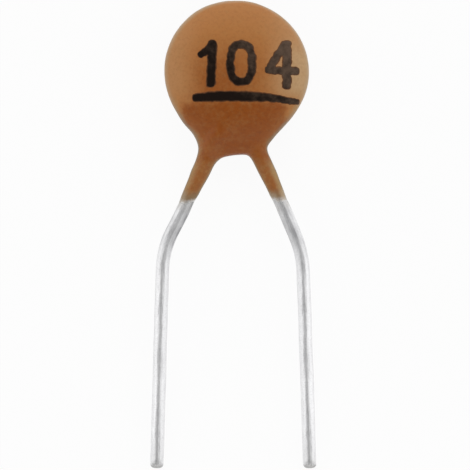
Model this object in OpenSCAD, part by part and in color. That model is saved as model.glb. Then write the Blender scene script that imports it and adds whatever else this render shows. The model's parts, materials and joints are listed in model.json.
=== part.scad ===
// Ceramic disc capacitor, a loose radial-lead component lying on its back.
//
// Each piece is drawn upright in one plane: X runs to the right, Y towards the top of
// the disc and Z out of the marked face, with the middle of the disc at the origin.
// lay_down() then turns the whole part onto the table, where it rests on the back of
// the coat and on the tips of both leads. All sizes are in millimetres.

/* [Ceramic disc] */
// Diameter of the bare ceramic disc
ceramic_w = 4.0; // [3.4:0.1:7]
// Thickness of the bare ceramic disc
ceramic_t = 0.3; // [0.2:0.05:1]
// Chamfer round both edges of the ceramic disc
ceramic_chamfer = 0.04; // [0.02:0.01:0.08]

/* [Electrodes and solder] */
// Bare ceramic left round each electrode
electrode_margin = 0.25; // [0.1:0.05:0.4]
// Thickness of each fired silver electrode
electrode_t = 0.02; // [0.01:0.01:0.05]
// Diameter of each solder joint on its electrode
solder_w = 2.2; // [1.4:0.1:2.4]
// Height of each solder joint at its middle
solder_h = 0.3; // [0.15:0.05:0.4]
// Solder between an electrode and the lead on it
solder_film = 0.03; // [0.02:0.01:0.08]
// Way along a lead from the leads' crossing to the middle of its solder joint
solder_at = 0.95; // [0.7:0.05:1.2]

/* [Leads] */
// Diameter of the tinned wire
wire_w = 0.45; // [0.35:0.05:0.6]
// Distance between the lead tips, the pitch of the board's holes
lead_pitch = 5.08; // [4.6:0.01:6]
// Distance between the leads' knees
knee_w = 4.65; // [4.2:0.05:5.2]
// From the disc's lower rim down to the knees
knee_drop = 3.57; // [3.3:0.01:5]
// From the disc's lower rim down to the lead tips
lead_len = 10.8; // [8:0.1:25]
// From the disc's lower rim up to where the leads cross, seen from the front
cross_rise = 1.46; // [1.2:0.02:1.7]
// Sideways shift of both leads from the middle of the disc
leads_shift = -0.1; // [-0.2:0.05:0.2]
// Bend radius on the wire's centre line at each knee
knee_r = 3.6; // [2:0.1:4.5]
// Bend radius on the wire's centre line where a lead steps off the disc's face
kink_r = 0.6; // [0.45:0.05:0.8]
// From the rim of the ceramic down to the start of that step
kink_gap = 0.05; // [0.02:0.01:0.2]
// Height of the step, down to where both leads lie in one plane
kink_drop = 0.7; // [0.6:0.05:1]
// Length of lead that runs on past its solder joint
lead_overrun = 0.15; // [0.05:0.05:0.3]
// Chamfer that the cutter leaves on each lead end
cut_chamfer = 0.05; // [0.02:0.01:0.08]

/* [Resin coat] */
// Resin beyond the rim of the ceramic
coat_rim = 0.4; // [0.3:0.05:0.8]
// Resin over the leads on both faces
coat_face = 0.3; // [0.15:0.05:0.6]
// Fullness of the disc's edge, from a lens (2) to a slab (4)
rim_power = 2.5; // [2.3:0.1:3.6]
// From the disc's lower rim down to the end of the coated legs
leg_len = 1.9; // [1.7:0.05:2.3]
// Slant of the coat's edge on each leg, lower on the outside, in degrees
leg_slant = 18; // [0:1:24]
// Resin on the left lead where it leaves the neck
left_resin = 0.09; // [0.05:0.01:0.15]
// Resin on the right lead where it leaves the neck
right_resin = 0.05; // [0.05:0.01:0.15]
// Resin left at the lower edge of the coat
edge_resin = 0.02; // [0.015:0.005:0.05]
// How softly the neck runs into the disc
body_blend = 0.12; // [0.08:0.02:0.16]
// How softly the legs run into the disc and the neck
blend = 0.09; // [0.06:0.01:0.12]

/* [Neck of the coat] */
// Width of the neck at its lower edge
neck_w = 2.0; // [1.8:0.02:2.4]
// From the disc's lower rim down to the neck's lower edge
neck_drop = 0.38; // [0.3:0.01:0.6]
// Thickness of the neck at its lower edge
neck_t = 0.7; // [0.6:0.02:0.9]
// Flare of the neck's sides towards the disc, in degrees
neck_flare = 21; // [16:1:28]
// Swelling of the neck's faces towards the disc, in degrees
neck_swell = 12; // [8:1:16]
// Fullness of the neck's section, from an oval (2) to a bar (4)
neck_power = 2.5; // [2:0.1:4]
// Slant of the neck's lower edge, lower on the left, in degrees
neck_slant = 6; // [0:0.5:8]
// Rounding of the neck's lower edge
neck_round = 0.15; // [0.08:0.01:0.18]

/* [Hidden] */
$fn = 48;

LEFT = -1;
RIGHT = 1;
wire_r = wire_w / 2;
disc_r = ceramic_w / 2 + coat_rim;
electrode_r = ceramic_w / 2 - electrode_margin;
face_z = ceramic_t / 2 + electrode_t;
lead_z = face_z + solder_film + wire_r;
disc_h = lead_z + wire_r + coat_face;

// Heights of the leads' landmarks below the middle of the disc
cross_y = cross_rise - disc_r;
knee_y = -disc_r - knee_drop;
tip_y = -disc_r - lead_len;
kink_top_y = -ceramic_w / 2 - kink_gap;
kink_low_y = kink_top_y - kink_drop;
leg_end_y = -disc_r - leg_len;
neck_y = -disc_r - neck_drop;
splay = atan2(knee_w / 2, cross_y - knee_y);
bend_hair = 0.002;
bend_lap = 0.02;
grip = solder_at + solder_w / 2 + lead_overrun;

// Loft of the coat: rings from the top of the disc to the crotch, rings on each leg,
// facets round half of a ring, and where the fan of each section stands in its half
body_rings = 30;
leg_rings = 18;
facets = 20;
fan_at = 0.68;
halvings = 22;

function unit(v) = v / norm(v);
function sum(v) = v * [for (x = v) 1];
function mix(a, b, t) = a + (b - a) * t;
function clamp(t) = max(0, min(1, t));

// Sideways distance of a lead from the leads' middle line at height y
function spread(y) = tan(splay) * (cross_y - y);
// The face that a lead is soldered to: the left one to the front, the right one to the back
function face(side) = -side;

// Corners of a lead's centre line, from its soldered end to its tip
function lead_corners(side) = [
    for (c = [[cross_y + grip * cos(splay), lead_z], [kink_top_y, lead_z], [kink_low_y, 0]])
        [leads_shift + side * spread(c[0]), c[0], face(side) * c[1]],
    [leads_shift + side * knee_w / 2, knee_y, 0],
    [leads_shift + side * lead_pitch / 2, tip_y, 0]
];
lead_bends = [kink_r, kink_r, knee_r];

// Way of the run that ends at corner i of the path c, the angle that the path turns by
// there, and its way towards the inside of that turn
function along(c, i) = unit(c[i] - c[i - 1]);
function turning(c, i) = acos(along(c, i) * along(c, i + 1));
function inward(c, i) = unit(along(c, i + 1) - cos(turning(c, i)) * along(c, i));

// Frame at o with the unit axes x and z
module frame(o, x, z) {
    y = cross(z, x);
    multmatrix([[x[0], y[0], z[0], o[0]], [x[1], y[1], z[1], o[1]], [x[2], y[2], z[2], o[2]]])
        children();
}

// Round wire through the corners given: straight runs joined by a round bend at each
// inner corner. A bend is drawn a hair slimmer than the runs and laps into both.
module wire(corners, bends) {
    last = len(corners) - 1;
    sets = [0, for (i = [1:last - 1]) bends[i - 1] * tan(turning(corners, i) / 2), 0];
    for (i = [1:last]) {
        z = along(corners, i);
        frame(corners[i - 1] + sets[i - 1] * z, unit(cross([0, 0, 1], z)), z)
            wire_run(norm(corners[i] - corners[i - 1]) - sets[i - 1] - sets[i],
                     i == 1 ? cut_chamfer : 0, i == last ? cut_chamfer : 0);
    }
    for (i = [1:last - 1]) {
        r = bends[i - 1];
        lap = bend_lap / r * 180 / PI;
        z = along(corners, i);
        x = -inward(corners, i);
        frame(corners[i] - sets[i] * z - r * x, x, cross(x, z))
            rotate([0, 0, -lap]) rotate_extrude(angle = turning(corners, i) + 2 * lap)
                translate([r, 0]) circle(wire_r - bend_hair);
    }
}

// Straight wire along +Z with a chamfer of the given size at each end
module wire_run(length, low, high)
    rotate_extrude()
        polygon([[0, 0], [wire_r - low, 0], if (low > 0) [wire_r, low],
                 if (high > 0) [wire_r, length - high], [wire_r - high, length], [0, length]]);

module lead(side) wire(lead_corners(side), lead_bends);

module ceramic()
    rotate_extrude()
        polygon([for (q = [[0, -1], [ceramic_w / 2 - ceramic_chamfer, -1]]) [q[0], q[1] * ceramic_t / 2],
                 for (s = [-1, 1]) [ceramic_w / 2, s * (ceramic_t / 2 - ceramic_chamfer)],
                 for (q = [[ceramic_w / 2 - ceramic_chamfer, 1], [0, 1]]) [q[0], q[1] * ceramic_t / 2]]);

// Electrode on the front face; the back one is its mirror image
module electrode()
    translate([0, 0, ceramic_t / 2]) cylinder(r = electrode_r, h = electrode_t);

// Mound of solder of the height and width given, on the electrode under a lead
module solder(side) {
    ball = (pow(solder_w / 2, 2) + pow(solder_h, 2)) / (2 * solder_h);
    at = cross_y + solder_at * cos(splay);
    translate([leads_shift + side * spread(at), at, 0])
        mirror([0, 0, face(side) < 0 ? 1 : 0]) intersection() {
            translate([0, 0, face_z + solder_h - ball]) sphere(ball);
            translate([0, 0, face_z]) cylinder(r = solder_w, h = solder_h + 1);
        }
}

// Everything that the resin encloses
module core() {
    ceramic();
    electrode();
    mirror([0, 0, 1]) electrode();
    for (side = [LEFT, RIGHT]) {
        solder(side);
        lead(side);
    }
}

// Smooth minimum and maximum of the numbers in v, which round where two of them meet
function soft_min(v, k) = -k * ln(sum([for (x = v) exp(-x / k)]));
function soft_max(v, k) = k * ln(sum([for (x = v) exp(x / k)]));

// Distance of p outside the bare disc, a lens whose section is a superellipse
function disc_gap(p) =
    let (g = pow(pow(norm([p.x, p.y]) / disc_r, rim_power) + pow(abs(p.z) / disc_h, rim_power),
                 1 / rim_power))
    norm(p) * (1 - 1 / g);

// Distance of p outside the neck, which hangs between the leads: an oval section that
// flares and swells towards the disc, a slanting lower edge and a top hidden in the disc
function neck_gap(p) =
    let (x = p.x - leads_shift,
         y = p.y - neck_y,
         a = max(neck_w / 2 + y * tan(neck_flare), wire_r),
         b = max(neck_t / 2 + y * tan(neck_swell), wire_r),
         g = pow(pow(abs(x) / a, neck_power) + pow(abs(p.z) / b, neck_power), 1 / neck_power))
    soft_max([(g - 1) * (norm([x, p.z]) + (1 - g) * b) * cos(neck_flare),
              x * tan(neck_slant) - y,
              p.y + disc_r * sin(neck_flare)],
             neck_round);

// Distance of p outside a coated lead, whose resin thins towards the end of the leg
function run_gap(p, a, b) = norm(p - mix(a, b, clamp((p - a) * (b - a) / ((b - a) * (b - a)))));
function leg_gap(p, side) =
    let (c = lead_corners(side),
         neck_resin = side == LEFT ? left_resin : right_resin,
         down = clamp((kink_low_y - p.y) / (kink_low_y - leg_end_y)))
    min([for (i = [1:3]) run_gap(p, c[i - 1], c[i])]) - wire_r - mix(neck_resin, edge_resin, down);

// The resin draws the disc, the neck and both legs together
function body_gap(p) = soft_min([disc_gap(p), neck_gap(p)], body_blend);
function inside(p) = soft_min([body_gap(p), leg_gap(p, LEFT), leg_gap(p, RIGHT)], blend) < 0;

// Distance from o along v to the skin, between near, which is inside, and far
function reach(o, v, far, near = 0, n = halvings) =
    let (middle = (near + far) / 2)
    n == 0 ? middle
    : inside(o + middle * v) ? reach(o, v, far, middle, n - 1)
    : reach(o, v, middle, near, n - 1);

far = 2 * disc_r;
top_y = reach([leads_shift, 0, 0], [0, 1, 0], far);
crotch_y = -reach([leads_shift, 0, 0], [0, -1, 0], -leg_end_y);

// Ray from o at the angle a from v towards Z, as far as the skin or limit
function spoke(o, v, a, limit) =
    let (w = cos(a) * v + [0, 0, sin(a)]) o + reach(o, w, limit) * w;

// Ring of one half of the body at t from the top (0) to the crotch (1): from the front seam
// round the rim to the back seam, in a section that turns from level to square to the lead
function body_ring(side, t) =
    let (down = (1 - cos(180 * t)) / 2,
         seam = [leads_shift, mix(top_y, crotch_y, down), 0],
         turn = splay * down * down,
         out = [side * cos(turn), sin(turn), 0],
         front = reach(seam, [0, 0, 1], far),
         back = reach(seam, [0, 0, -1], far),
         fan = fan_at * reach(seam, out, far),
         first = atan2(front, -fan),
         final = atan2(-back, -fan))
    [for (j = [0:facets])
        let (a = mix(first, final, j / facets))
        j == 0 ? seam + [0, 0, front]
        : j == facets ? seam - [0, 0, back]
        : spoke(seam + fan * out, out, a, cos(a) < 0 ? -fan / cos(a) : far)];

// Ring round one leg at t from the crotch (0) to the leg's end (1), in a section that turns
// from square to the lead to the slant of the coat's edge
function leg_ring(side, t) =
    let (turn = mix(splay, -leg_slant, t * t),
         out = [side * cos(turn), sin(turn), 0],
         down = mix((cross_y - crotch_y) * cos(splay), (cross_y - leg_end_y) / cos(splay), pow(t, 1.5)),
         o = [leads_shift, cross_y, 0] + down * [side * sin(splay), -cos(splay), 0])
    [for (j = [0:facets])
        let (a = 180 - 360 * j / facets)
        t == 0 && j % facets == 0 ? [leads_shift, crotch_y, 0]
        : spoke(o, out, a, cos(a) < 0 ? -down * sin(splay) / (cos(a) * cos(turn)) : far)];

rings = body_rings + leg_rings + 1;
function half_rings(side) = concat(
    [[for (j = [0:facets]) [leads_shift, top_y, 0]]],
    [for (i = [1:body_rings - 1]) body_ring(side, i / body_rings)],
    [for (i = [0:leg_rings]) leg_ring(side, i / leg_rings)]);

function flat_list(v) = [for (a = v) for (b = a) b];
skin_points = concat(
    flat_list(half_rings(LEFT)), flat_list(half_rings(RIGHT)),
    [for (side = [LEFT, RIGHT]) [leads_shift + side * spread(leg_end_y), leg_end_y, 0]]);

// Place in skin_points of point j on ring i: the halves share their seam and their top,
// and a ring below the crotch closes on itself
function at(half, i, j) =
    let (seam = j % facets == 0)
    i == 0 ? 0
    : ((seam && i <= body_rings ? 0 : half) * rings + i) * (facets + 1)
      + (seam && i >= body_rings ? 0 : j);

function facing(half, f) = half == 1 ? f : [f[2], f[1], f[0]];
skin_faces = [
    for (half = [0, 1]) for (j = [0:facets - 1]) each concat(
        [for (i = [0:rings - 2]) facing(half, [at(half, i, j), at(half, i + 1, j + 1), at(half, i + 1, j)])],
        [for (i = [1:rings - 2]) facing(half, [at(half, i, j), at(half, i, j + 1), at(half, i + 1, j + 1)])],
        [facing(half, [at(half, rings - 1, j), at(half, rings - 1, j + 1),
                       2 * rings * (facets + 1) + half])])
];

module skin() polyhedron(points = skin_points, faces = skin_faces);

// Tilt at which the back of the coat and the undersides of the tips stand on one plane
function coat_low(t) = min([for (p = skin_points) p.y * sin(t) + p.z * cos(t)]);
function tip_low(t) = (tip_y + cut_chamfer) * sin(t) - wire_r * cos(t);
function settle(low, high, n = halvings) =
    let (t = (low + high) / 2)
    n == 0 ? t : coat_low(t) < tip_low(t) ? settle(t, high, n - 1) : settle(low, t, n - 1);
rest_tilt = settle(0, 30);

module lay_down()
    translate([-leads_shift, -(disc_r + tip_y) / 2, -coat_low(rest_tilt)])
        rotate([rest_tilt, 0, 0]) children();

module resin_coat()
    color([0.60, 0.36, 0.20]) lay_down() difference() {
        skin();
        core();
    }

module ceramic_disc() color([0.80, 0.74, 0.62]) lay_down() ceramic();

module front_electrode() color([0.82, 0.82, 0.80]) lay_down() electrode();

module back_electrode() color([0.82, 0.82, 0.80]) lay_down() mirror([0, 0, 1]) electrode();

module front_solder()
    color([0.66, 0.67, 0.69]) lay_down() difference() {
        solder(LEFT);
        lead(LEFT);
    }

module back_solder()
    color([0.66, 0.67, 0.69]) lay_down() difference() {
        solder(RIGHT);
        lead(RIGHT);
    }

module left_lead() color([0.80, 0.80, 0.80]) lay_down() lead(LEFT);

module right_lead() color([0.80, 0.80, 0.80]) lay_down() lead(RIGHT);

resin_coat();
ceramic_disc();
front_electrode();
back_electrode();
front_solder();
back_solder();
left_lead();
right_lead();
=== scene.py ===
import json
import math

import bpy
import numpy as np
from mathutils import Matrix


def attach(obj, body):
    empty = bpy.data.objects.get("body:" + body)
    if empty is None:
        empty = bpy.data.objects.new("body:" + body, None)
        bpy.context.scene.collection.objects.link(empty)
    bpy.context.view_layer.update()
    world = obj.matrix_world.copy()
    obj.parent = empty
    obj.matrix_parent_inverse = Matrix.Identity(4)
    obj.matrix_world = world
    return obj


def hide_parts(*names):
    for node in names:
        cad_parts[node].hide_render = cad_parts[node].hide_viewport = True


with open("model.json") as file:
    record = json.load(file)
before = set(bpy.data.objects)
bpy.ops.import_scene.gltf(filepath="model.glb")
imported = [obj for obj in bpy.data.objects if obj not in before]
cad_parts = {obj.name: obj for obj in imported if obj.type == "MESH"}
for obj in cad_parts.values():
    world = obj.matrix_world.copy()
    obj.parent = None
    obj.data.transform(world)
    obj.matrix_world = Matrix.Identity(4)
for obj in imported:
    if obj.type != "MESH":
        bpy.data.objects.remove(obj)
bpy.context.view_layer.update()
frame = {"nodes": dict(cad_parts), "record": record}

MM = 0.001
LEFT = -1
RIGHT = 1

# Disc: radius, half thickness and fullness of its rim
DISC_R = 2.4
DISC_H = 0.95
RIM_POWER = 2.5

# Leads: they cross over the ceramic, step into one plane, splay to the knees and run to the tips
WIRE_R = frame["record"]["mounts"][0]["dims"]["r_mm"]
LEADS_SHIFT = -0.1
LEAD_Z = 0.425
CROSS_Y = -0.94
SOLDERED_Y = CROSS_Y + 2.0
STEP_TOP_Y = -2.05
STEP_LOW_Y = -2.75
STEP_R = 0.6
KNEE_W = 4.65
KNEE_Y = -5.97
KNEE_R = 3.6
LEAD_PITCH = 5.08
TIP_Y = -13.2
SPLAY = math.atan2(KNEE_W / 2, CROSS_Y - KNEE_Y)

# Neck and legs of the coat: widths, slants, resin over the wire at the top and end of a leg,
# and how widely the shapes are blended
NECK_W = 2.0
NECK_Y = -2.78
NECK_T = 0.7
NECK_FLARE = math.radians(21)
NECK_SWELL = math.radians(12)
NECK_POWER = 2.5
NECK_SLANT = math.radians(6)
NECK_ROUND = 0.15
LEG_END_Y = -4.3
LEG_SLANT = math.radians(18)
LEG_RESIN = {LEFT: 0.09, RIGHT: 0.05}
EDGE_RESIN = {LEFT: 0.02, RIGHT: 0.008}
BODY_BLEND = 0.12
LEG_BLEND = 0.09

# Where the drawing plane lies: the leads' axes are in it, so a mount gives its tilt and height
PIN = frame["record"]["mounts"][0]
TILT = math.atan2(PIN["axis"][2], PIN["axis"][1]) + math.pi
DISC_PLACE_Y = -(DISC_R + TIP_Y) / 2
DISC_PLACE_Z = PIN["pos_m"][2] / MM - math.tan(TILT) * (PIN["pos_m"][1] / MM - DISC_PLACE_Y)


def lay_down(points):
    """Points of the drawing plane, turned by TILT about X and put in place, in metres."""
    x, y, z = np.moveaxis(points, -1, 0)
    return MM * np.stack([
        x - LEADS_SHIFT,
        y * math.cos(TILT) - z * math.sin(TILT) + DISC_PLACE_Y,
        y * math.sin(TILT) + z * math.cos(TILT) + DISC_PLACE_Z,
    ], axis=-1)


# ---------------------------------------------------------------- small helpers

WELD = 1e-7
TINY = 1e-9


def mix(a, b, t):
    """a where t is 0, b where it is 1, in a straight line between."""
    return a + (b - a) * t


def smooth(t):
    """Smooth step: 0 below 0, 1 above 1 and 3t^2 - 2t^3 between."""
    t = np.clip(t, 0, 1)
    return t * t * (3 - 2 * t)


def unit(v):
    """Vectors scaled to length 1."""
    return v / np.linalg.norm(v, axis=-1, keepdims=True)


def signed_power(v, n):
    """|v|^n with the sign of v: below 1, n makes a circle's cosine and sine draw a fuller oval."""
    return np.sign(v) * np.abs(v) ** n


def run_along(line):
    """Run along the line to each of its points."""
    return np.concatenate([[0], np.cumsum(np.linalg.norm(np.diff(line, axis=0), axis=1))])


def soft_min(gaps, k):
    """-k ln(sum of e^(-gap / k)): the least gap, rounded where two are alike."""
    least = np.minimum.reduce(gaps)
    return least - k * np.log(sum(np.exp((least - g) / k) for g in gaps))


def soft_max(gaps, k):
    """The greatest gap, rounded where two are alike."""
    return -soft_min([-g for g in gaps], k)


def ripple(points, seed, wavelength, waves=9):
    """Slow random swell, about -1 to 1: a sum of sine waves of like length that run in
    seeded random directions with seeded random phases."""
    draw = np.random.default_rng(seed)
    ways = unit(draw.normal(size=(waves, points.shape[-1])))
    pitch = 2 * math.pi / (wavelength * draw.uniform(0.75, 1.35, waves))
    phase = draw.uniform(0, 2 * math.pi, waves)
    return np.sin((points @ ways.T) * pitch + phase).sum(-1) / math.sqrt(waves)


def grid_faces(ids, closed):
    """Two-way grid of vertex numbers, ring by ring, made quads; closed joins the last
    column to the first."""
    if closed:
        ids = np.concatenate([ids, ids[:, :1]], axis=1)
    return np.stack([ids[:-1, :-1], ids[:-1, 1:], ids[1:, 1:], ids[1:, :-1]], -1).reshape(-1, 4)


def make_piece(name, points, quads, node=None, attributes=None):
    """Mesh of the points (drawing plane, mm) and quads, welded where points coincide and
    laid down into the part's frame, riding on the part's one body. A quad that falls together
    at a pole loses its doubled corner."""
    points = lay_down(np.asarray(points, float))
    keys = np.round(points / WELD, 0).astype(np.int64)
    _, first, back = np.unique(keys, axis=0, return_index=True, return_inverse=True)
    quads = back.reshape(-1)[quads]
    faces = [[v for i, v in enumerate(q) if v != q[i - 1]] for q in quads.tolist()]
    faces = [f for f in faces if len(f) > 2 and len(set(f)) == len(f)]
    mesh = bpy.data.meshes.new(name)
    mesh.from_pydata(points[first], [], faces)
    mesh.shade_smooth()
    for key, values in (attributes or {}).items():
        layer = mesh.attributes.new(key, "FLOAT", "POINT")
        layer.data.foreach_set("value", np.asarray(values, np.float32)[first])
    mesh.validate()
    piece = bpy.data.objects.new(name, mesh)
    bpy.context.scene.collection.objects.link(piece)
    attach(piece, "root")
    if node:
        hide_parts(node)
    return piece


# ---------------------------------------------------------------- leads

WIRE_SIDES = 72
STRAIGHT_STEP = 0.05
ARC_STEP = 0.03

# Bare wire: the run at which it leaves the coat, its extra thickness there and the runs over
# which that comes and goes, its bow to the left, the run over which the bow comes and the
# share of it that is left at the tip, how far it wanders, and the swell of the tin
RUN_OUT = 6.05
THICKER = 0.04
THICK_IN = 0.3
THICK_OUT = 2.0
BOW = {LEFT: 0.05, RIGHT: 0.055}
BOW_IN = 1.5
BOW_AT_TIP = {LEFT: 0.5, RIGHT: 0.0}
WANDER = 0.006
TIN_SWELL = 0.016

# Cut end: the runs over which it is pinched, rounded off and dulled and the tip is darkened,
# and the rings that round it off, with the last one's distance from the end
PINCH_RUN = 0.24
ROUND_RUN = 0.13
CUT_RUN = 0.28
TIP_RUN = 1.2
TIP_RINGS = 12
LAST_RING = 0.012
RING_GAP = 0.01
POLE_OUT = 0.002

# How strongly the side towards the other lead is darkened with painted shade
INNER_SHADE = {LEFT: 1.0, RIGHT: 0.8}


def spread(y):
    """Sideways distance of a lead from the leads' middle line at height y."""
    return math.tan(SPLAY) * (CROSS_Y - y)


def lead_corners(side):
    """Corners of a lead's centre line, from its soldered end to its tip."""
    up = -side * LEAD_Z
    return np.array([
        [LEADS_SHIFT + side * spread(SOLDERED_Y), SOLDERED_Y, up],
        [LEADS_SHIFT + side * spread(STEP_TOP_Y), STEP_TOP_Y, up],
        [LEADS_SHIFT + side * spread(STEP_LOW_Y), STEP_LOW_Y, 0],
        [LEADS_SHIFT + side * KNEE_W / 2, KNEE_Y, 0],
        [LEADS_SHIFT + side * LEAD_PITCH / 2, TIP_Y, 0],
    ])


def round_path(corners, radii, step, fine):
    """Centre line through the corners with an arc of the radius given at each inner one:
    points every step along the straights and every fine round the arcs."""
    pieces, start = [], corners[0]
    for before, corner, after, radius in zip(corners, corners[1:], corners[2:], radii):
        into, out = unit(corner - before), unit(after - corner)
        turn = math.acos(np.clip(into @ out, -1, 1))
        setback = radius * math.tan(turn / 2)
        inward = unit(out - into * (into @ out))
        on, off = corner - into * setback, corner + out * setback
        count = max(2, int(np.linalg.norm(on - start) / step))
        pieces.append(mix(start, on, np.linspace(0, 1, count, endpoint=False)[:, None]))
        angle = np.linspace(0, turn, max(3, int(radius * turn / fine)), endpoint=False)[:, None]
        pieces.append(on + radius * (np.sin(angle) * into + (1 - np.cos(angle)) * inward))
        start = off
    count = max(2, int(np.linalg.norm(corners[-1] - start) / step))
    pieces.append(mix(start, corners[-1], np.linspace(0, 1, count + 1)[:, None]))
    return np.concatenate(pieces)


def lead_rings(side):
    """Middles of a lead's rings, their frames (across, up) with up near Z, the run to each and
    the way out of the tip. The rings crowd together over the last ROUND_RUN."""
    path = round_path(lead_corners(side), [STEP_R, STEP_R, KNEE_R], STRAIGHT_STEP, ARC_STEP)
    way = unit(np.gradient(path, axis=0))
    across = unit(np.cross(way, [0.0, 0.0, 1.0]))
    up = np.cross(across, way)
    run = run_along(path)
    keep = run[-1] - run > ROUND_RUN + RING_GAP
    path, across, up, run = path[keep], across[keep], up[keep], run[keep]
    left = np.concatenate([np.linspace(ROUND_RUN, LAST_RING, TIP_RINGS), [0.0]])
    path = np.concatenate([path, lead_corners(side)[-1] - left[:, None] * way[-1]])
    across, up = [np.concatenate([v, np.repeat(v[-1:], len(left), 0)]) for v in (across, up)]
    run = np.concatenate([run, run[-1] + RING_GAP + (ROUND_RUN - left)])
    return path, across, up, run, way[-1]


def with_poles(grid, last=0.0):
    """A grid's values, ring by ring, then those of its two poles: 0 and last."""
    return np.concatenate([grid.ravel(), [0.0, last]])


def make_lead(side, name, node):
    """Tinned wire: an oval, across cos t + up sin t, carried along the lead's path. Its radius
    swells with the tin and is a little greater just outside the coat, where the lead also
    begins to bow. The cutter pinched the end: over PINCH_RUN the oval grows flatter, and over
    ROUND_RUN it shrinks as (1 - u^2.2)^(1/2). The attributes are the run along the wire, the
    cosine and sine of the angle round it, how far a point lies on the side towards the other
    lead, and how near it is to the cut and to the tip."""
    path, across, up, run, tip_way = lead_rings(side)
    angle = np.linspace(0, 2 * math.pi, WIRE_SIDES, endpoint=False)
    ring_run, ring_angle = np.meshgrid(run, angle, indexing="ij")
    ring_left = run[-1] - ring_run
    cos, sin = np.cos(ring_angle), np.sin(ring_angle)
    tin = 0.5 * ripple(np.stack([cos * 0.3, sin * 0.3, ring_run * 0.5], -1), 11 + side, 0.5)
    bare = ring_run - RUN_OUT
    thick = smooth(bare / THICK_IN) * (1 - smooth(bare / THICK_OUT))
    radius = WIRE_R * (1 + TIN_SWELL * tin + THICKER * thick)
    pinch = smooth(1 - ring_left / PINCH_RUN)
    shrink = np.sqrt(np.clip(1 - np.clip(1 - ring_left / ROUND_RUN, 0, 1) ** 2.2, 0, 1))
    wide = radius * (1 - 0.06 * pinch) * (0.25 + 0.75 * shrink)
    high = radius * (1 - 0.20 * pinch) * (0.12 + 0.88 * shrink)
    bow = BOW[side] * smooth((run - RUN_OUT) / BOW_IN) * mix(1, BOW_AT_TIP[side], run / run[-1])
    wander = WANDER * ripple(run[:, None], 23 + side, 2.4, 5)
    points = (path[:, None] + (bow + wander)[:, None, None] * across[:, None]
              + (wide * cos)[..., None] * across[:, None]
              + (high * sin)[..., None] * up[:, None])
    points = np.concatenate([points.reshape(-1, 3), path[:1], path[-1:] + POLE_OUT * tip_way])
    ids = np.arange(cos.size).reshape(cos.shape)
    pole = np.full((1, WIRE_SIDES), cos.size)
    quads = grid_faces(np.concatenate([pole, ids, pole + 1]), True)
    return make_piece(name, points, quads, node, {
        "run": with_poles(ring_run),
        "turn_x": with_poles(cos),
        "turn_y": with_poles(sin),
        "inner": with_poles(INNER_SHADE[side] * side * cos),
        "cut": with_poles(smooth(1 - ring_left / CUT_RUN), 1.0),
        "tip": with_poles(smooth(1 - ring_left / TIP_RUN)),
    })


# ---------------------------------------------------------------- coat

# Disc's rim: how far it sits off centre, and its out-of-round waves (a, b)
DISC_SHIFT = (-0.010, 0.012)
OUT_OF_ROUND = [(0.000, -0.004), (0.009, -0.010), (0.009, 0.007)]

# Sags and dips of the wet resin on the flanks of the neck and the legs: x, y, width, height
SAGS = [
    (-1.75, -1.75, 0.38, 0.045), (-1.30, -2.45, 0.42, 0.030), (-1.50, -3.25, 0.20, 0.012),
    (-0.62, -2.90, 0.22, 0.026), (-0.98, -3.42, 0.34, 0.026), (2.10, -1.25, 0.50, -0.016),
    (1.25, -2.20, 0.38, 0.034), (1.05, -2.40, 0.20, -0.020), (1.15, -3.00, 0.40, 0.028),
    (1.38, -3.38, 0.36, 0.030), (0.95, -3.80, 0.30, -0.012), (1.62, -3.85, 0.30, 0.010),
]

# Swell of the skin, slow and fine, and the height over which it grows calm on the legs
SLOW_SWELL = 0.006
SLOW_LENGTH = 1.3
FINE_SWELL = 0.0018
FINE_LENGTH = 0.34
CALM_RUN = 1.2

# Dip line of each leg: middle, slope and bend, the waves round it and their least and
# greatest height
DIP_LINE = {LEFT: (0.120, -0.058, -0.090), RIGHT: (0.070, -0.085, -0.125)}
DIP_WAVES = (1, 2, 3, 5)
DIP_HEIGHTS = (0.005, 0.011)

# Skin: halvings of a ray, a length past all of it, rings of the body, of a leg and of a bore,
# facets from seam to seam, the middle of a ring's fan, and how short of the crotch they stop
HALVINGS = 24
FAR = 2 * DISC_R
BODY_RINGS = 150
LEG_RINGS = 84
BORE_RINGS = 8
FACETS = 112
FAN_AT = 0.68
SHORT = 0.03

# Bore: play round the wire, depth, and the run over which the resin feathers down to it
BORE_HAIR = 0.001
BORE_DEPTH = 1.0
LIP = 0.26

Z_AXIS = np.array([0.0, 0.0, 1.0])


def disc_gap(p):
    """Distance outside the bare disc: |p| (1 - 1/g) with g the superellipse measure
    ((r / R)^n + (|z| / h)^n)^(1/n), on a disc that sagged a hair while the resin set. Its rim
    is a hair out of round: it stands out by the sum of a cos(k t) + b sin(k t) at the angle t."""
    x, y, z = p[..., 0] - DISC_SHIFT[0], p[..., 1] - DISC_SHIFT[1], p[..., 2]
    r, t = np.hypot(x, y), np.arctan2(y, x)
    g = ((r / DISC_R) ** RIM_POWER + (np.abs(z) / DISC_H) ** RIM_POWER) ** (1 / RIM_POWER)
    g = np.maximum(g, TINY)
    out = sum(a * np.cos(k * t) + b * np.sin(k * t) for k, (a, b) in enumerate(OUT_OF_ROUND, 1))
    return np.sqrt(x * x + y * y + z * z) * (1 - 1 / g) - out * smooth(r / DISC_R)


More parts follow.
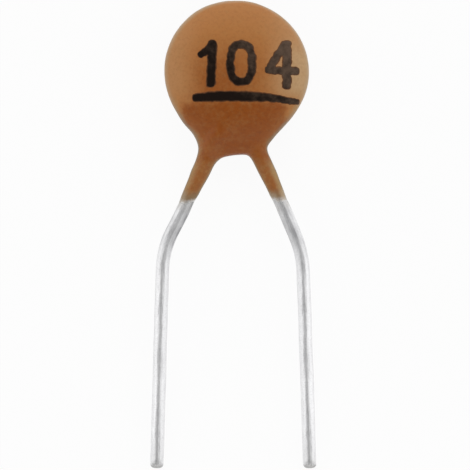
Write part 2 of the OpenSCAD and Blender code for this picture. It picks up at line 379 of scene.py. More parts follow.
def neck_gap(p):
    """Distance outside the neck: an oval section of half width a and half thickness b, which
    both grow towards the disc, with a slanting lower edge and a hidden top. With the measure
    g = ((|x| / a)^n + (|z| / b)^n)^(1/n) and the distance r from the axis, the gap to the
    section is (g - 1) (r + (1 - g) b)."""
    x, y, z = p[..., 0] - LEADS_SHIFT, p[..., 1] - NECK_Y, p[..., 2]
    a = np.maximum(NECK_W / 2 + y * math.tan(NECK_FLARE), WIRE_R)
    b = np.maximum(NECK_T / 2 + y * math.tan(NECK_SWELL), WIRE_R)
    g = ((np.abs(x) / a) ** NECK_POWER + (np.abs(z) / b) ** NECK_POWER) ** (1 / NECK_POWER)
    side = (g - 1) * (np.hypot(x, z) + (1 - g) * b) * math.cos(NECK_FLARE)
    ends = [x * math.tan(NECK_SLANT) - y, p[..., 1] + DISC_R * math.sin(NECK_FLARE)]
    return soft_max([side] + ends, NECK_ROUND)


def run_gap(p, a, b):
    """Distance from p to the straight run from a to b."""
    t = np.clip(((p - a) @ (b - a)) / ((b - a) @ (b - a)), 0, 1)
    return np.linalg.norm(p - a - t[..., None] * (b - a), axis=-1)


def leg_gap(p, side):
    """Distance outside a coated lead: the distance to the lead's first three straights, less
    the wire's radius and the resin, which thins from LEG_RESIN below the step of the lead to
    EDGE_RESIN at the end of the leg."""
    c = lead_corners(side)
    down = np.clip((STEP_LOW_Y - p[..., 1]) / (STEP_LOW_Y - LEG_END_Y), 0, 1)
    axis = np.minimum.reduce([run_gap(p, c[i - 1], c[i]) for i in (1, 2, 3)])
    return axis - WIRE_R - mix(LEG_RESIN[side], EDGE_RESIN[side], down)


def sagged(p):
    """How far the wet resin sagged outwards, or drew in, on the flanks: the sum of soft humps
    d e^(-(r / w)^2), r being the distance in the plane from the middle of each."""
    return sum(depth * np.exp(-((p[..., 0] - x) ** 2 + (p[..., 1] - y) ** 2) / wide ** 2)
               for x, y, wide, depth in SAGS)


def coat_gap(p):
    """Distance outside the coat: disc, neck and legs drawn together by the resin, less its sags
    and a slow swell that dies out on the legs and only sinks in on the back, which the part
    lies on."""
    calm = smooth((p[..., 1] - STEP_LOW_Y + CALM_RUN / 2) / CALM_RUN)
    slow = SLOW_SWELL * ripple(p, 5, SLOW_LENGTH) * calm
    swell = slow + FINE_SWELL * ripple(p, 6, FINE_LENGTH) * (0.3 + 0.7 * calm)
    swell = np.where(p[..., 2] < 0, -np.abs(swell) * smooth(-p[..., 2] / 0.3), swell)
    body = soft_min([disc_gap(p), neck_gap(p)], BODY_BLEND)
    return soft_min([body, leg_gap(p, LEFT), leg_gap(p, RIGHT)], LEG_BLEND) - swell - sagged(p)


def reach(origin, way, far):
    """Distance from each origin along its way to the skin, halved in on between 0 and far."""
    near = np.zeros(np.broadcast_shapes(origin.shape[:-1], way.shape[:-1], np.shape(far)))
    far = near + far
    for _ in range(HALVINGS):
        middle = (near + far) / 2
        inside = coat_gap(origin + middle[..., None] * way) < 0
        near = np.where(inside, middle, near)
        far = np.where(inside, far, middle)
    return (near + far) / 2


def dip_edge(side, angle):
    """How far the dip line runs out along the lead at each angle round it: middle + slope c
    + bend c^2 with c the cosine of the angle from the outer side, and a few sine waves of a
    hundredth of a millimetre, which close on themselves."""
    draw = np.random.default_rng(31 + side)
    waves = 0
    for n in DIP_WAVES:
        height = draw.uniform(*DIP_HEIGHTS)
        phase = draw.uniform(0, 6.28)
        waves = waves + height * np.sin(n * angle + phase)
    middle, slope, bend = DIP_LINE[side]
    return waves + middle + slope * np.cos(angle) + bend * np.cos(angle) ** 2


def body_rings(side, top_y, crotch_y):
    """Rings of one half of the coat from the top of the disc to the crotch, and the cosine of
    each ray. A ring is a fan of rays from the front end of the seam round the rim to the back
    end, in a section that turns from level to square to the lead. The fan's middle lies FAN_AT
    of the way out to the rim, and on the lead's axis at the crotch. Each ray ends on the skin.
    The rings crowd towards both ends, as (1 - cos t) / 2, and stop a hair short of the crotch."""
    rim = np.arange(1, BODY_RINGS + 1) / BODY_RINGS
    down = ((1 - np.cos((math.pi - SHORT) * rim)) / 2)[:, None]
    seam = np.concatenate([np.full_like(down, LEADS_SHIFT), mix(top_y, crotch_y, down), 0 * down], 1)
    turn = SPLAY * down[:, 0] ** 2
    out = np.stack([side * np.cos(turn), np.sin(turn), 0 * turn], 1)
    front, back = reach(seam, Z_AXIS, FAR), reach(seam, -Z_AXIS, FAR)
    fan = mix(FAN_AT * reach(seam, out, FAR), (CROSS_Y - crotch_y) * math.sin(SPLAY), down[:, 0] ** 8)
    share = np.arange(FACETS + 1) / FACETS
    angle = mix(np.arctan2(front, -fan)[:, None], np.arctan2(-back, -fan)[:, None], share)
    cos = np.cos(angle)
    origin = (seam + fan[:, None] * out)[:, None]
    way = cos[..., None] * out[:, None] + np.sin(angle)[..., None] * Z_AXIS
    limit = np.where(cos < 0, -fan[:, None] / np.minimum(cos, -TINY), FAR)
    rings = origin + reach(origin, way, np.minimum(limit, FAR * 3))[..., None] * way
    rings[:, 0] = seam + front[:, None] * Z_AXIS
    rings[:, -1] = seam - back[:, None] * Z_AXIS
    return rings, cos


def leg_rings(side, crotch_y):
    """Rings of one leg from the crotch to the dip line and back up its bore, the run from each
    point of the leg to the dip line, and how far outwards it looks. A ring is a fan of rays
    round the lead. They crowd towards the crotch as t^1.4, and their section turns from square
    to the lead to the slant of the dip line and takes on its waves over the lower half. The
    resin's thickness falls to nothing over the last LIP as u^0.7."""
    t = np.arange(LEG_RINGS + 1)[:, None] / LEG_RINGS
    turn = mix(SPLAY, -LEG_SLANT, t * t)
    out = np.stack([side * np.cos(turn), np.sin(turn), 0 * turn], -1)
    lead_way = np.array([side * math.sin(SPLAY), -math.cos(SPLAY), 0.0])
    first = (CROSS_Y - crotch_y) * math.cos(SPLAY)
    last = (CROSS_Y - LEG_END_Y) / math.cos(SPLAY)
    angle = math.pi - 2 * math.pi * np.arange(FACETS + 1)[None] / FACETS
    cos = np.cos(angle)
    way = cos[..., None] * out + np.sin(angle)[..., None] * Z_AXIS
    travel = mix(first, last, t ** 1.4) + dip_edge(side, angle) * smooth((t - 0.55) / 0.45)
    origin = np.array([LEADS_SHIFT, CROSS_Y, 0.0]) + travel[..., None] * lead_way
    inner = -travel * math.sin(SPLAY) / (np.minimum(cos, -TINY) * np.cos(turn))
    length = reach(origin, way, np.where(cos < 0, np.minimum(inner, FAR), FAR))
    wire = (WIRE_R + BORE_HAIR) / np.linalg.norm(way - (way @ lead_way)[..., None] * lead_way, axis=-1)
    from_end = travel[-1:] - travel
    feather = np.clip(from_end / LIP, 0, 1) ** 0.7
    length = np.where(t > 0.5, wire + (length - wire) * feather, length)
    leg = origin + length[..., None] * way
    leg[0, 0] = [LEADS_SHIFT, crotch_y, 0]
    leg[:, -1] = leg[:, 0]
    inside = BORE_DEPTH * np.linspace(0, 1, BORE_RINGS)[1:, None, None] ** 1.5
    bore = origin[-1] + wire[-1][:, None] * way[-1] - inside * lead_way
    bore[:, -1] = bore[:, 0]
    centre = np.broadcast_to(origin[-1].mean(0) - BORE_DEPTH * lead_way, (1, FACETS + 1, 3))
    outward = np.where(cos > 0, cos, cos * smooth(t / 0.3))
    return np.concatenate([leg, bore, centre]), from_end, outward


def half_coat(side, top_y, crotch_y):
    """Rings of one half of the coat, from the top of the disc down its body and its leg and
    back up the bore, the run from each point to the dip line, and how far outwards it looks:
    from -1 on the inner side of a leg to 1 on the outline."""
    top = np.broadcast_to(np.array([LEADS_SHIFT, top_y, 0.0]), (1, FACETS + 1, 3))
    body, cos = body_rings(side, top_y, crotch_y)
    leg, from_end, outward = leg_rings(side, crotch_y)
    rings = np.concatenate([top, body, leg])
    run, look = np.zeros((2, *rings.shape[:2]))
    run[:BODY_RINGS + 1] = FAR
    run[BODY_RINGS + 1:-BORE_RINGS] = from_end
    look[1:BODY_RINGS + 1] = np.maximum(cos, 0)
    look[BODY_RINGS + 1:-BORE_RINGS] = outward
    return rings, run, look


def make_coat():
    """The coat: two lofted halves welded along their seam, with a closed bore for each lead."""
    middle = np.array([LEADS_SHIFT, 0.0, 0.0])
    top_y = float(reach(middle, np.array([0.0, 1.0, 0.0]), FAR))
    crotch_y = -float(reach(middle, np.array([0.0, -1.0, 0.0]), -LEG_END_Y))
    halves = [half_coat(side, top_y, crotch_y) for side in (LEFT, RIGHT)]
    rings, run, look = [np.stack(values) for values in zip(*halves)]
    ids = np.arange(run.size).reshape(run.shape)
    quads = np.concatenate([grid_faces(ids[0], False), grid_faces(ids[1, :, ::-1], False)])
    return make_piece("dipped_coat", rings.reshape(-1, 3), quads, "resin_coat",
                      {"from_end": run.ravel(), "outward": look.ravel()})


coat = make_coat()
leads = [
    make_lead(LEFT, "left_tinned_wire", "left_lead"),
    make_lead(RIGHT, "right_tinned_wire", "right_lead"),
]

# ---------------------------------------------------------------- ink mark

# Height of the film, its depth in the coat, pen widths, and how ragged its edges are
INK_RISE = 0.012
INK_SINK = 0.02
PEN_W = 0.295
LINE_W = 0.31
EDGE_ROUGH = 0.015

# Rings along a stroke and points round it, the power of its round ends, the run over which
# two crossing strokes merge, points of a curve from one given point to the next, and how far
# a later stroke dips under an earlier one
STROKE_RINGS = 120
STROKE_SIDES = 28
END_POWER = 2.6
OVERLAP = 0.035
CURVE_POINTS = 40
DIP_UNDER = 1.3 * INK_RISE


def front_height(flat):
    """Height of the coat's front over points of the drawing plane."""
    base = np.concatenate([flat, 0 * flat[..., :1]], -1)
    return reach(base, Z_AXIS, 2 * DISC_H)


def curve_through(points, closed):
    """Dense Catmull-Rom curve through the points, the run along it and its direction. Between b
    and c, with a before and d after them, it is half of 2 b + (c - a) t + (2 a - 5 b + 4 c - d) t^2
    + (3 b - a - 3 c + d) t^3. A closed curve ends on its first point and runs smoothly through it."""
    p = np.array(points, float)
    before, after = (p[-2:-1], p[1:2]) if closed else (2 * p[:1] - p[1:2], 2 * p[-1:] - p[-2:-1])
    p = np.concatenate([before, p, after])
    t = np.linspace(0, 1, CURVE_POINTS, endpoint=False)[:, None]
    parts = []
    for a, b, c, d in zip(p, p[1:], p[2:], p[3:]):
        bend, twist = 2 * a - 5 * b + 4 * c - d, 3 * b - a - 3 * c + d
        parts.append((2 * b + (c - a) * t + bend * t ** 2 + twist * t ** 3) / 2)
    line = np.concatenate(parts + [p[-2:-1]])
    slope = unit(np.gradient(line, axis=0))
    if closed:
        slope[0] = slope[-1] = unit(slope[0] + slope[-1])
    return line, run_along(line), slope


def stroke(points, width, seed, closed=False, fullness=(1.0, 1.0)):
    """Rings of one stroke of ink, how near its edge each point lies (0 to 1), and its spine:
    x, y and half width. A flat lens section is carried along a curve on the coat's front. Its
    half width is the pen's, times the fullness along the stroke and a random swell, and falls
    as (1 - u^n)^(1/n), n being END_POWER, over the half width that it runs on past each end.
    Its upper side stands INK_RISE proud and its lower side is sunk in the coat."""
    line, run, slope = curve_through(points, closed)
    length, half_w = run[-1], width / 2
    if closed:
        at = np.linspace(0, length, STROKE_RINGS)
    else:
        at = length / 2 - (length / 2 + half_w) * np.cos(np.linspace(0, math.pi, STROKE_RINGS))
    on = np.clip(at, 0, length)
    centre = np.stack([np.interp(on, run, line[:, i]) for i in (0, 1)], -1)
    way = unit(np.stack([np.interp(on, run, slope[:, i]) for i in (0, 1)], -1))
    full = np.interp(on / length, np.linspace(0, 1, len(fullness)), fullness)
    spine = np.concatenate([centre, half_w * full[:, None]], 1)
    centre = centre + (at - on)[:, None] * way
    side_way = np.stack([-way[:, 1], way[:, 0]], -1)
    beyond = np.clip(np.abs(at - on) / half_w, 0, 1)
    half = half_w * (1 - beyond ** END_POWER) ** (1 / END_POWER) * full
    angle = np.linspace(0, 2 * math.pi, STROKE_SIDES, endpoint=False)
    across, depth = signed_power(np.cos(angle), 0.8), signed_power(np.sin(angle), 0.5)
    depth = np.where(depth > 0, INK_RISE * depth, INK_SINK * depth)
    flat = centre[:, None] + (half[:, None] * across)[..., None] * side_way[:, None]
    rough = EDGE_ROUGH * ripple(flat, seed, 0.30, 7)
    rough = rough + 0.35 * EDGE_ROUGH * ripple(flat, seed + 20, 0.12, 7)
    flat = flat + (across * rough)[..., None] * side_way[:, None]
    height = front_height(flat) + depth * smooth(half / half_w * 2.5)[:, None]
    edge = 1 - (1 - np.abs(across)) * smooth((1 - beyond) * 2.2)[:, None]
    return np.concatenate([flat, height[..., None]], -1), edge, spine


def covering(rings, spine):
    """0 outside the stroke of the spine given, 1 from OVERLAP inside its edge."""
    gap = np.linalg.norm(rings[..., None, :2] - spine[:, :2], axis=-1) - spine[:, 2]
    return smooth(-gap.min(-1) / OVERLAP)


def oval(x, y, wide, high, count=25):
    """Points round an upright oval with full corners, a superellipse of power 2.5."""
    a = np.linspace(0, 2 * math.pi, count)
    return np.stack([x + wide * signed_power(np.cos(a), 0.8), y + high * signed_power(np.sin(a), 0.8)], -1)


def make_ink():
    """A plain three-figure capacitance code over an arched line, drawn with a fine pen. Where
    strokes cross, their edges run together and the later one dips under the earlier."""
    one = [stroke([(-1.17, 0.58), (-0.98, 0.70), (-0.82, 0.90)], PEN_W * 0.95, 41),
           stroke([(-0.80, 0.89), (-0.83, 0.25), (-0.86, -0.38)], PEN_W * 1.10, 42)]
    zero = [stroke(oval(0.15, 0.27, 0.36, 0.62), PEN_W, 43, closed=True)]
    four = [stroke([(1.58, 0.86), (1.34, 0.50), (1.09, 0.10)], PEN_W, 44),
            stroke([(1.07, 0.05), (1.50, 0.02), (1.95, 0.02)], PEN_W * 0.95, 45),
            stroke([(1.66, 0.88), (1.67, 0.20), (1.66, -0.44)], PEN_W * 1.10, 46)]
    line = [stroke([(-1.33, -0.87), (-0.7, -0.835), (0.1, -0.825), (1.1, -0.88), (1.94, -1.00)],
                   LINE_W, 47, fullness=(0.93, 1.12, 1.22, 1.10, 0.97, 0.88, 0.72))]
    rings, edge, spines = [np.stack(values) for values in zip(*one, *zero, *four, *line)]
    for number in range(len(rings)):
        covered = np.stack([covering(rings[number], spine) for spine in spines])
        edge[number] *= np.prod(1 - np.delete(covered, number, axis=0), axis=0)
        rings[number, ..., 2] -= DIP_UNDER * covered[:number].max(axis=0, initial=0)
    ids = np.arange(edge.size).reshape(edge.shape)
    quads = np.concatenate([grid_faces(part[:, ::-1], True) for part in ids])
    return make_piece("ink_mark", rings.reshape(-1, 3), quads, attributes={"edge": edge.ravel()})


ink = make_ink()

# ---------------------------------------------------------------- shader maths


class Socket:
    """One value in a material. The usual operators on it add Math nodes."""

    def __init__(self, finish, link):
        self.finish = finish
        self.link = link

    def math(self, operation, *values):
        """Math node of the operation on the values."""
        return self.finish.node("ShaderNodeMath", {"operation": operation}, dict(enumerate(values)))

    def __add__(self, other):
        return self.math("ADD", self, other)

    def __radd__(self, other):
        return self.math("ADD", other, self)

    def __sub__(self, other):
        return self.math("SUBTRACT", self, other)

    def __rsub__(self, other):
        return self.math("SUBTRACT", other, self)

    def __mul__(self, other):
        return self.math("MULTIPLY", self, other)

    def __rmul__(self, other):
        return self.math("MULTIPLY", other, self)

    def __abs__(self):
        return self.math("ABSOLUTE", self)

    def root(self):
        """Square root."""
        return self.math("SQRT", self)

    def most(self, other):
        """The larger of the two values."""
        return self.math("MAXIMUM", self, other)

    def least(self, other):
        """The smaller of the two values."""
        return self.math("MINIMUM", self, other)

    def ramp(self, start, end):
        """0 up to the start and 1 from the end on, smooth between. An end below the start
        makes it fall with the value."""
        low, high = sorted((start, end))
        values = {0: self, 1: low, 2: high, 3: float(end < start), 4: float(start < end)}
        return self.finish.node("ShaderNodeMapRange", {"interpolation_type": "SMOOTHSTEP"}, values)


class Finish:
    """A material under construction, or the world: its nodes all come from node()."""

    def __init__(self, owner):
        owner.use_nodes = True
        self.owner = owner
        self.tree = owner.node_tree
        self.tree.nodes.clear()

    def node(self, kind, settings=None, values=None, output=0):
        """Adds a node of the kind, sets its settings, then its sockets' values or links, by
        name or number, and gives back the output asked for."""
        node = self.tree.nodes.new(kind)
        for key, value in (settings or {}).items():
            setattr(node, key, value)
        for key, value in (values or {}).items():
            if isinstance(value, Socket):
                self.tree.links.new(value.link, node.inputs[key])
            else:
                node.inputs[key].default_value = value
        return Socket(self, node.outputs[output]) if node.outputs else None

    def mixed(self, factor, a, b):
        """Colour a where the factor is 0 and b where it is 1."""
        a, b = [c if isinstance(c, Socket) else (*c, 1.0) for c in (a, b)]
        return self.node("ShaderNodeMix", {"data_type": "RGBA"}, {0: factor, 6: a, 7: b}, output=2)

    def place(self):
        """Object coordinates in millimetres."""
        own = self.node("ShaderNodeTexCoord", output="Object")
        return self.node("ShaderNodeVectorMath", {"operation": "SCALE"}, {0: own, "Scale": 1 / MM})

    def split(self, vector):
        """The x, y and z of a vector."""
        x = self.node("ShaderNodeSeparateXYZ", None, {0: vector})
        return [Socket(self, output) for output in x.link.node.outputs]

    def joined(self, x, y, z):
        """A vector of three values."""
        return self.node("ShaderNodeCombineXYZ", None, {0: x, 1: y, 2: z})

    def noise(self, where, size, detail=2.0, roughness=0.5):
        """Noise about 0 to 1 whose grains are size across, in the units of where."""
        values = {"Vector": where, "Scale": 1 / size, "Detail": detail, "Roughness": roughness}
        return self.node("ShaderNodeTexNoise", None, values)

    def attribute(self, name):
        """Value that the mesh carries at each point under the name."""
        return self.node("ShaderNodeAttribute", {"attribute_name": name}, output="Fac")

    def bump(self, height, distance, normal=None):
        """Normal tilted by the height, over the normal given or the surface's own."""
        values = {"Height": height, "Distance": distance, "Strength": 1.0}
        if normal:
            values["Normal"] = normal
        return self.node("ShaderNodeBump", None, values)

    def surface(self, **values):
        """Ends the material in a Principled shader with the socket values given, whose
        names have _ for a space."""
        named = {key.replace("_", " "): value for key, value in values.items()}
        shader = self.node("ShaderNodeBsdfPrincipled", None, named)
        self.node("ShaderNodeOutputMaterial", None, {"Surface": shader})
        return self.owner


# ---------------------------------------------------------------- finishes

# Resin: thin over the ceramic, pooled, under a painted sheen, in clouds and flecks, with a painted rim
# highlight at the sides and the rim, and as the film in which it ends, with a painted sheen down its sides
THIN_RESIN = (0.468, 0.188, 0.050)
THICK_RESIN = (0.294, 0.073, 0.006)
SHEEN_RESIN = (0.560, 0.370, 0.190)
OCHRE_RESIN = (0.400, 0.215, 0.070)
DARK_FLECK = (0.170, 0.040, 0.006)
SIDE_HIGHLIGHT_RESIN = (0.415, 0.255, 0.105)
RIM_HIGHLIGHT_RESIN = (0.42, 0.31, 0.17)
RESIN_FILM = (0.265, 0.182, 0.100)
SHEEN_FILM = (0.68, 0.58, 0.45)

# Tin where the resin ends
BARE_TIN = (0.74, 0.735, 0.72)
SHADED_TIN = (0.47, 0.45, 0.40)

# Tin of the bare wire
BRIGHT_TIN = (0.97, 0.97, 0.975)
SOFT_TIN = (0.86, 0.86, 0.87)
# darker drawing marks near the coat, and there a painted dark reflection down the middle and painted shade
# on the sides
DULL_AND_SHADED_TIN = (0.34, 0.34, 0.35)
SPECK_TIN = (0.60, 0.60, 0.61)
FILMED_TIN = (0.47, 0.44, 0.40)
TIP_TIN = (0.60, 0.595, 0.59)
CUT_TIN = (0.50, 0.495, 0.49)

# Ink: full, worn thin in patches and paler towards the upper right with a painted sheen, and at the edge
# of a stroke
FULL_INK = (0.009, 0.004, 0.002)
WORN_AND_SHEEN_INK = (0.125, 0.080, 0.054)
EDGE_INK = (0.15, 0.060, 0.024)


def resin_depth(across, above):
    """How deep the resin's colour is, 0 to 1: the greatest of a pool below a soft line low on
    the disc, which keeps off the corners, of the neck under it, and of a column of pooled
    resin up the middle of the disc."""
    column = across.ramp(-2.0, -0.8) * across.ramp(1.9, -0.3) * above.ramp(1.5, -0.45)
    corners = abs(across + 0.10).ramp(1.89, 1.60)
    off_rim = (abs(across) + across * 0.1 - above * 0.75).ramp(2.85, 2.3)
    below_line = (above + abs(across).ramp(1.1, 1.8) * 0.13).ramp(-0.80, -1.20)
    pool = below_line * (corners * 0.8 + off_rim * 0.2)
    neck = above.ramp(-2.35, -2.85) * (0.9 - above.ramp(-2.85, -3.3) * 0.3)
    return pool.most(neck).most(column * 0.82)


def resin_finish():
    """Dipped resin: light where it is thin over the ceramic, dark red-brown where it pools low
    on the disc and in the neck, with a painted sheen on the right, paler towards the outline with a
    painted rim highlight, greyer towards the outline, and worn thin at the dip line until the tin of
    the lead shows through."""
    resin = Finish(bpy.data.materials.new("dipped_resin"))
    place = resin.place()
    x, y, _ = resin.split(place)
    cloud = resin.noise(place, 1.1, 3.0, 0.55) - 0.5
    grain = resin.noise(place, 0.16, 3.0, 0.6) - 0.5

    # place from the middle of the disc, exact and as the clouds bend it
    right, up = x + LEADS_SHIFT, y - DISC_PLACE_Y
    across = right + cloud * 0.5
    above = up + cloud * 0.4 + grain * 0.1
    rightwards = across.ramp(-0.8, 0.8)
    right_leg = across.ramp(-0.5, 0.5)
    on_leg = above.ramp(-2.75, -3.25)

    # body, by its depth, with a painted sheen of the light from the right on the right and the far left,
    # ochre clouds and flecks
    depth = resin_depth(across, above)
    skin = resin.mixed(depth, THIN_RESIN, THICK_RESIN)
    right_sheen = across.ramp(0.7, 2.1) * (0.80 - above.ramp(0.3, 1.3) * 0.50)
    painted_sheen = (right_sheen + across.ramp(-1.1, -2.2) * 0.20) * above.ramp(-1.3, -0.5)
    skin = resin.mixed(painted_sheen, skin, SHEEN_RESIN)
    clouds = (cloud + grain * 1.8).ramp(-0.15, 0.45) * (0.20 + on_leg * 0.30)
    skin = resin.mixed(clouds, skin, OCHRE_RESIN)
    fleck = resin.noise(place, 0.10, 2.0, 0.6).ramp(0.40, 0.75)
    skin = resin.mixed(fleck * (0.14 + depth * 0.16), skin, DARK_FLECK)

    # sides of the low disc, the neck and the legs: a painted rim highlight, stronger on the right where
    # the light comes from; then the grey outline and the disc's rim
    outward = resin.attribute("outward")
    side = outward + grain * 0.4
    low_side_highlight = side.ramp(0.64, 1.04) * above.ramp(-0.6, -1.15) * above.ramp(-1.65, -1.30)
    neck_side_highlight = side.ramp(0.55, 1.0) * above.ramp(-1.75, -2.10)
    leg_side_highlight = side.ramp(0.15, 0.95) * on_leg * (0.75 + rightwards * 0.35)
    upper_side_highlight = low_side_highlight * (0.80 + rightwards * 0.25) + neck_side_highlight * (0.50 - right_leg * 0.25)
    sides = upper_side_highlight.most(leg_side_highlight) + side.ramp(-0.55, -1.05) * 0.45
    skin = resin.mixed(sides * 0.85 + on_leg * 0.16, skin, SIDE_HIGHLIGHT_RESIN)
    outline = (abs(outward) + grain * 0.15).ramp(0.80, 1.0)
    below = (above + across * 0.07).ramp(-0.95, -1.65)
    skin = resin.mixed(outline * below * 0.8, skin, RESIN_FILM)
    from_middle = (right * right + up * up).root()
    # painted rim highlight round the disc above the underline, stronger towards the top
    rim = from_middle.ramp(DISC_R - 0.17, DISC_R + 0.01) * above.ramp(-1.15, -0.6)
    skin = resin.mixed(rim * (0.45 + above.ramp(0.8, 2.0) * 0.25), skin, RIM_HIGHLIGHT_RESIN)

    # dip line: a grey-brown film with a painted sheen down its sides, most on the right leg, that thins
    # out over bare tin
    streaks = resin.noise(place, 0.07, 2.0, 0.5) - 0.5
    end = resin.attribute("from_end") + grain * 0.16 + streaks * 0.16
    film = end.ramp(0.58, 0.20) * (0.85 - leg_side_highlight * across.ramp(0.0, 0.8) * 0.6)
    skin = resin.mixed(film, skin, RESIN_FILM)
    outer, inner = side.ramp(0.2, 0.8), side.ramp(0.1, -0.5)
    # painted sheen down the film's sides, most on the right leg
    pale = outer * (0.20 + right_leg * 0.15) + inner * right_leg * 0.25
    skin = resin.mixed(end.ramp(0.50, 0.22) * pale, skin, SHEEN_FILM)
    bare = end.ramp(0.23, -0.03)
    tone = resin.mixed(bare, skin, resin.mixed(outer * 0.40, BARE_TIN, SHADED_TIN))

    peel = resin.noise(place, 0.20, 1.0, 0.4)
    pits = resin.noise(place, 0.045, 2.0, 0.5)
    bump = resin.bump(peel + pits * 0.15, 0.004 * MM)
    rough = 0.40 + grain * 0.10 + cloud * 0.06
    return resin.surface(Base_Color=tone, Roughness=rough, Metallic=bare * 0.9, Normal=bump,
                         Specular_IOR_Level=0.25)


def tin_finish():
    """Tin plating on drawn wire: bright, with streaks along the wire and soft mottling. Near the
    coat it has a painted dark reflection down the middle and painted shade on the sides, not alike
    on the two leads, darker drawing marks, and a film where it leaves the resin. The front of the tip
    is a little darker, and the cut is dulled."""
    tin = Finish(bpy.data.materials.new("tin_plating"))
    run, cut, inner = [tin.attribute(name) for name in ("run", "cut", "inner")]
    turn_x, turn_y = tin.attribute("turn_x"), tin.attribute("turn_y")
    place = tin.place()

    def wire_noise(width, length, size, detail, roughness):
        """Noise that follows the wire: its grains are size / width of the wire's radii round it
        and size / length millimetres along it."""
        where = tin.joined(turn_x * width, turn_y * width, run * length)
        return tin.noise(where, size, detail, roughness)

    streak = wire_noise(1.0, 0.12, 0.16, 3.0, 0.6)
    mottle = wire_noise(0.5, 1.0, 0.35, 3.0, 0.55)
    drawn = wire_noise(0.8, 0.1, 0.30, 3.0, 0.55)
    sway = wire_noise(0.5, 0.4, 0.6, 1.0, 0.4)
    speck = tin.noise(place, 0.05, 2.0, 0.5)
    plate = tin.mixed((streak * 0.6 + mottle * 0.6).ramp(0.35, 0.85), BRIGHT_TIN, SOFT_TIN)

    # near the coat: a painted dark reflection down the middle, painted shade on the sides, and darker
    # drawing marks
    left = tin.split(place)[0].ramp(0.5, -0.5)
    near_coat = run.ramp(8.9, 7.0)
    reflection_band = turn_x.ramp(-0.58, -0.13) * turn_x.ramp(0.48, 0.03) * (0.54 - left * 0.20)
    left_side_shade = inner.ramp(0.55, 0.92) * 1.05 + inner.ramp(0.1, -0.3) * 0.23
    right_side_shade = inner.ramp(0.05, 0.50) * 0.32
    sides = (left_side_shade * left + right_side_shade * (1 - left)) * run.ramp(7.9, 7.1)
    marks = drawn.ramp(0.35, 0.70) * 0.45
    dull_and_shade = near_coat * (reflection_band + sides + marks) * (mottle.ramp(0.25, 0.7) * 0.5 + 0.6)
    plate = tin.mixed(dull_and_shade.least(1.0), plate, DULL_AND_SHADED_TIN)
    # random specks, and a little painted shade on the side towards the other lead
    plate = tin.mixed(speck.ramp(0.42, 0.72) * 0.30 + inner.ramp(0.0, 0.4) * 0.08, plate, SPECK_TIN)

    # film where it leaves the resin, the front of the tip, and the cut
    filmed = run.ramp(6.50, 6.15) * (0.10 + mottle * 0.25 + inner.ramp(-0.2, -0.8) * 0.25)
    plate = tin.mixed(filmed, plate, FILMED_TIN)
    plate = tin.mixed(tin.attribute("tip") * turn_y.ramp(0.2, 0.9) * 0.35, plate, TIP_TIN)
    tone = tin.mixed((cut + speck * 0.9 - 0.45).ramp(0.30, 0.90), plate, CUT_TIN)

    rough = 0.30 + streak * 0.14 + (mottle - 0.5) * 0.14 + cut * 0.15 + near_coat * 0.12
    bump = tin.bump(sway, 0.035 * MM)
    bump = tin.bump(streak * 0.9 + mottle * 2.6 + speck * (0.3 + cut * 2.0), 0.007 * MM, bump)
    return tin.surface(Base_Color=tone, Roughness=rough, Metallic=1.0, Normal=bump)


def ink_finish():
    """Printing ink: near black with a brown cast, worn thinner in patches, paler towards the upper
    right with a painted sheen of the light from the right, and brown at the edges of the strokes."""
    paint = Finish(bpy.data.materials.new("printing_ink"))
    place = paint.place()
    x, y, _ = paint.split(place)
    patch = paint.noise(place, 0.22, 4.0, 0.65)
    # worn patches, and a painted sheen that grows towards the upper right
    worn_and_sheen = (x + (y - DISC_PLACE_Y) * 0.9 + (patch - 0.5) * 4.5).ramp(-0.7, 3.4)
    tone = paint.mixed(worn_and_sheen, FULL_INK, WORN_AND_SHEEN_INK)
    tone = paint.mixed(paint.attribute("edge").ramp(0.66, 1.0), tone, EDGE_INK)
    bump = paint.bump(paint.noise(place, 0.06, 2.0, 0.5), 0.003 * MM)
    return paint.surface(Base_Color=tone, Roughness=0.5 + patch * 0.2, Normal=bump,
                         Specular_IOR_Level=0.1)


def inner_finish(name, light, dark, size, rough, metallic, bump_height):
    """Finish of a piece under the coat: two tones in grains of one size."""
    inner = Finish(bpy.data.materials.new(name))
    grain = inner.noise(inner.place(), size, 4.0, 0.6)
    tone = inner.mixed(grain.ramp(0.3, 0.75), light, dark)
    bump = inner.bump(grain, bump_height * MM)
    return inner.surface(Base_Color=tone, Roughness=rough + grain * 0.15, Metallic=metallic, Normal=bump)


coat.data.materials.append(resin_finish())
ink.data.materials.append(ink_finish())
tin_plating = tin_finish()
for lead in leads:
    lead.data.materials.append(tin_plating)

# Pieces under the coat: name, two tones, size of the grains, roughness, metal, height of bumps
UNDER_COAT = [
    (["ceramic_disc"],
     ("fired_ceramic", (0.62, 0.55, 0.42), (0.50, 0.42, 0.30), 0.06, 0.60, 0.0, 0.004)),
    (["front_electrode", "back_electrode"],
     ("fired_silver", (0.80, 0.79, 0.76), (0.66, 0.65, 0.62), 0.04, 0.42, 1.0, 0.003)),
    (["front_solder", "back_solder"],
     ("cold_solder", (0.70, 0.71, 0.73), (0.52, 0.53, 0.55), 0.15, 0.28, 1.0, 0.006)),
]
for names, values in UNDER_COAT:
    finish = inner_finish(*values)
    for name in names:
        for held in frame["nodes"][name].material_slots:
            held.material = finish

# ---------------------------------------------------------------- table, light and camera

# Half width of the table in metres, and its tone in bounced light
TABLE_HALF = 0.6
TABLE_TONE = (0.90, 0.90, 0.90, 1.0)
WHITE = (1.0, 1.0, 1.0, 1.0)

# View in the drawing plane: its width and middle, the camera's height and its film, in mm
VIEW_W = 15.67
VIEW_AT = (-0.057, -5.425)
CAMERA_UP = 150.0
SENSOR_W = 36.0


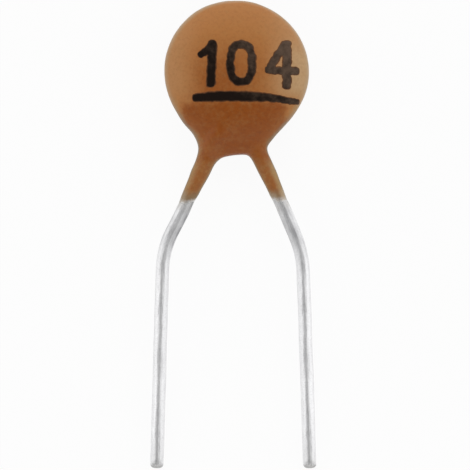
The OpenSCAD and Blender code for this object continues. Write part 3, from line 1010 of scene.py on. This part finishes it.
def make_table():
    """A pale table top under the part, which the camera and the tin see nearly white."""
    corners = TABLE_HALF * np.array([(-1, -1, 0), (1, -1, 0), (1, 1, 0), (-1, 1, 0)])
    mesh = bpy.data.meshes.new("table_top")
    mesh.from_pydata(corners, [], [(0, 1, 2, 3)])
    table = bpy.data.objects.new("table_top", mesh)
    bpy.context.scene.collection.objects.link(table)
    paper = Finish(bpy.data.materials.new("pale_paper"))
    matt = paper.node("ShaderNodeBsdfDiffuse", None, {"Color": TABLE_TONE})
    plain = paper.node("ShaderNodeEmission", None, {"Color": WHITE, "Strength": 1.0})
    seen = paper.node("ShaderNodeLightPath", output="Is Camera Ray")
    mirrored = paper.node("ShaderNodeLightPath", output="Is Glossy Ray")
    white = (seen * 0.93).most(mirrored * 0.86)
    both = paper.node("ShaderNodeMixShader", None, {0: white, 1: matt, 2: plain})
    paper.node("ShaderNodeOutputMaterial", None, {"Surface": both})
    mesh.materials.append(paper.owner)


def make_dome():
    """Soft studio dome: an even pale light with a dim patch overhead, where the camera is, that
    leans a little to the left, and a dimmer wall at each end, much more so on the side of the
    leads. The camera itself sees plain white."""
    dome = Finish(bpy.data.worlds.new("studio_dome"))
    x, y, z = dome.split(dome.node("ShaderNodeTexCoord", output="Generated"))
    patch = (z - x * 0.07).ramp(0.72, 1.0) * 0.76
    ends = abs(y).ramp(0.10, 0.34) * abs(y).ramp(0.95, 0.45)
    level = 1.18 + y * 0.06 - patch - ends * (0.34 - y * 0.50)
    seen = dome.node("ShaderNodeLightPath", output="Is Camera Ray")
    strength = level + seen * (1.0 - level)
    light = dome.node("ShaderNodeBackground", None, {"Color": WHITE, "Strength": strength})
    dome.node("ShaderNodeOutputWorld", None, {"Surface": light})
    bpy.context.scene.world = dome.owner


def make_camera():
    """A long lens square above the drawing plane, with the disc at the top of the view."""
    data = bpy.data.cameras.new("camera")
    camera = bpy.data.objects.new("camera", data)
    bpy.context.scene.collection.objects.link(camera)
    camera.location = lay_down(np.array([*VIEW_AT, CAMERA_UP]))
    camera.rotation_euler = (TILT, 0, 0)
    data.sensor_width = SENSOR_W
    data.lens = SENSOR_W * CAMERA_UP / VIEW_W
    data.clip_start = 0.001
    data.clip_end = 10.0
    bpy.context.scene.camera = camera


make_table()
make_dome()
make_camera()
bpy.context.scene.view_settings.view_transform = "Standard"
